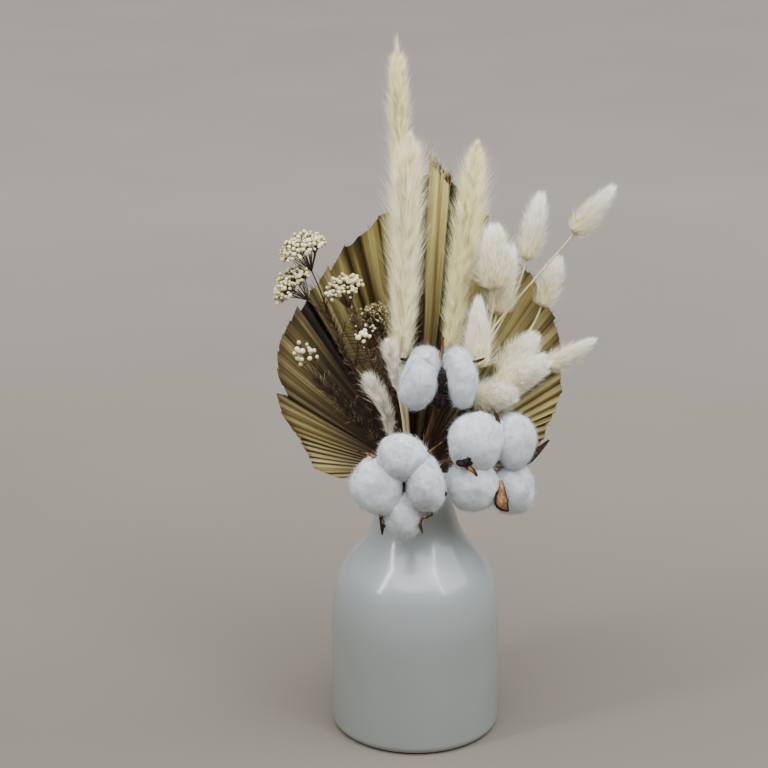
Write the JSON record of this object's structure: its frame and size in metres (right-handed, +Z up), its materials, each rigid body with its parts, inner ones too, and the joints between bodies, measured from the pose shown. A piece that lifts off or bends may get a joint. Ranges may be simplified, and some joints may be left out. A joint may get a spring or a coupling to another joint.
{
  "type": "cotton stem bunch",
  "caption": "Dried arrangement of open cotton bolls, a trimmed fan palm leaf, grass plumes, bunny-tail grass and rice flower standing in a squat ceramic bottle vase.",
  "frame": {"origin": "centre of the vase's flat foot, on the surface that it stands on", "axes": "+Z up along the vase's axis; the front, where the cotton bolls face, is -Y; +X is to the right seen from the front"},
  "size_m": [0.1873, 0.1105, 0.3887],
  "materials": {
    "vase": "satin glaze, cool grey-white",
    "palm": "dry pleated palm leaf, olive gold",
    "plume": "soft cream grass plume",
    "bunny_tail": "soft hairy cream grass head",
    "rice_flower": "matte straw-cream buds on brown twigs",
    "cotton": "fluffy white cotton",
    "burr": "dry dark-brown husk and stem"
  },
  "bodies": {
    "root": {"vase": "vase", "palm_leaf": "palm", "plume_tall": "plume", "plume_broad": "plume", "plume_right": "plume", "plume_small_left": "plume", "plume_small_back": "plume", "bunny_tail_1": "bunny_tail", "bunny_tail_2": "bunny_tail", "bunny_tail_3": "bunny_tail", "bunny_tail_4": "bunny_tail", "bunny_tail_5": "bunny_tail", "bunny_tail_6": "bunny_tail", "bunny_tail_7": "bunny_tail", "bunny_tail_8": "bunny_tail", "bunny_tail_9": "bunny_tail", "bunny_tail_10": "bunny_tail", "rice_flower_upper": "rice_flower", "rice_flower_middle": "rice_flower", "rice_flower_lower": "rice_flower", "cotton_top": "cotton", "cotton_stem_top": "burr", "cotton_front": "cotton", "cotton_stem_front": "burr", "cotton_right": "cotton", "cotton_stem_right": "burr"}
  },
  "joints": []
}
